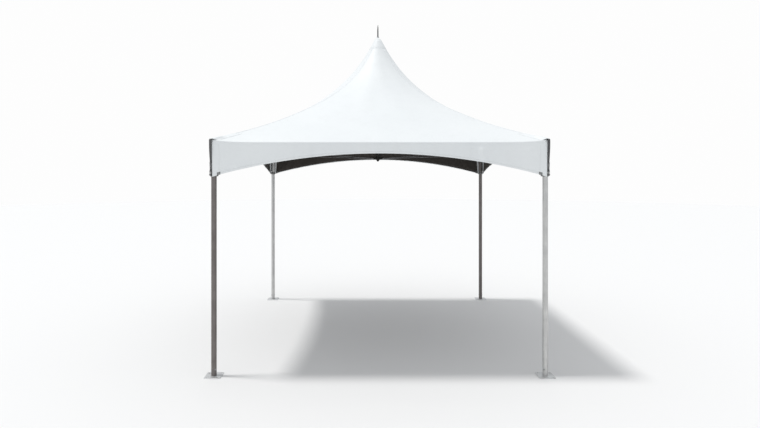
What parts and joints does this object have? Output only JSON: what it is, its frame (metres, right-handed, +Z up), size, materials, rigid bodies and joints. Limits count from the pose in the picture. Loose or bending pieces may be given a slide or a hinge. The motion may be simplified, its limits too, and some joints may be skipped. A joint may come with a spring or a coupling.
{
  "type": "marquee tent",
  "caption": "Square high-peak frame tent: round tube legs and eaves, a cable-carried centre mast, a concave peaked cloth roof and arched valances.",
  "frame": {"origin": "on the ground under the centre mast, at the middle of the square of legs", "axes": "+Z up; the front looks towards -Y, and +X is to its right"},
  "size_m": [3.15, 3.15, 3.572],
  "materials": {
    "aluminium_tube": "mill finish tube, dulled by handling",
    "cast_fitting": "fine sand-cast surface",
    "galvanised_steel": "dull galvanised, worn at the edges",
    "wire_rope": "stranded galvanised wire rope",
    "coated_cloth": "coated cloth, satin white outside and dark brown-grey inside",
    "webbing": "black woven webbing"
  },
  "bodies": {
    "root": {"leg_front_left": "aluminium_tube", "leg_front_right": "aluminium_tube", "leg_back_right": "aluminium_tube", "leg_back_left": "aluminium_tube", "base_plate_front_left": "galvanised_steel", "base_plate_front_right": "galvanised_steel", "base_plate_back_right": "galvanised_steel", "base_plate_back_left": "galvanised_steel", "corner_fitting_front_left": "cast_fitting", "corner_fitting_front_right": "cast_fitting", "corner_fitting_back_right": "cast_fitting", "corner_fitting_back_left": "cast_fitting", "eave_tube_front": "aluminium_tube", "eave_tube_right": "aluminium_tube", "eave_tube_back": "aluminium_tube", "eave_tube_left": "aluminium_tube", "turnbuckle_front_left": "galvanised_steel", "turnbuckle_front_right": "galvanised_steel", "turnbuckle_back_right": "galvanised_steel", "turnbuckle_back_left": "galvanised_steel", "cross_cable_front_left": "wire_rope", "cross_cable_front_right": "wire_rope", "cross_cable_back_right": "wire_rope", "cross_cable_back_left": "wire_rope", "mast_hub": "galvanised_steel", "mast_tube": "aluminium_tube", "mast_cap": "cast_fitting", "spire": "aluminium_tube", "peak_boot": "coated_cloth", "roof_panel_front": "coated_cloth", "roof_panel_right": "coated_cloth", "roof_panel_back": "coated_cloth", "roof_panel_left": "coated_cloth", "valance_front": "coated_cloth", "valance_right": "coated_cloth", "valance_back": "coated_cloth", "valance_left": "coated_cloth", "corner_strap_front_left": "webbing", "corner_strap_front_right": "webbing", "corner_strap_back_right": "webbing", "corner_strap_back_left": "webbing", "strap_anchor_front_left": "galvanised_steel", "strap_anchor_front_right": "galvanised_steel", "strap_anchor_back_right": "galvanised_steel", "strap_anchor_back_left": "galvanised_steel"}
  },
  "joints": []
}
